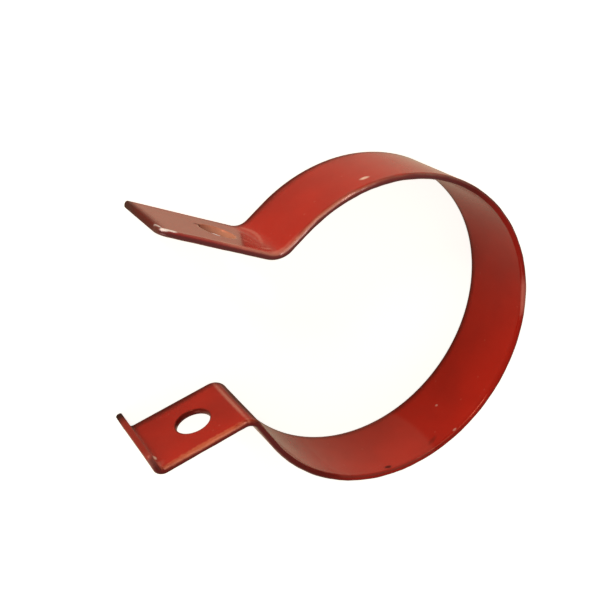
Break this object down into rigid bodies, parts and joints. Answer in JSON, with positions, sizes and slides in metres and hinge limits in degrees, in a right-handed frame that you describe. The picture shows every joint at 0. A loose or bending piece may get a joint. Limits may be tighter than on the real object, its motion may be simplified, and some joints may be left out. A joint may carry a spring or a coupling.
{
  "type": "exhaust clamp",
  "caption": "Open band clamp folded from flat steel strip, with outward bolting ears and a short turned-up lip, for holding an exhaust pipe.",
  "frame": {"origin": "centre of the band, halfway across the strip's width", "axes": "+X away from the ears, +Y towards the plain ear, +Z along the pipe and up as the clamp lies on its edge"},
  "size_m": [0.1184, 0.0912, 0.025],
  "materials": {
    "red_enamel": "glossy enamel, thinner over the edges"
  },
  "bodies": {
    "root": {"clamp_strap": "red_enamel"}
  },
  "joints": []
}
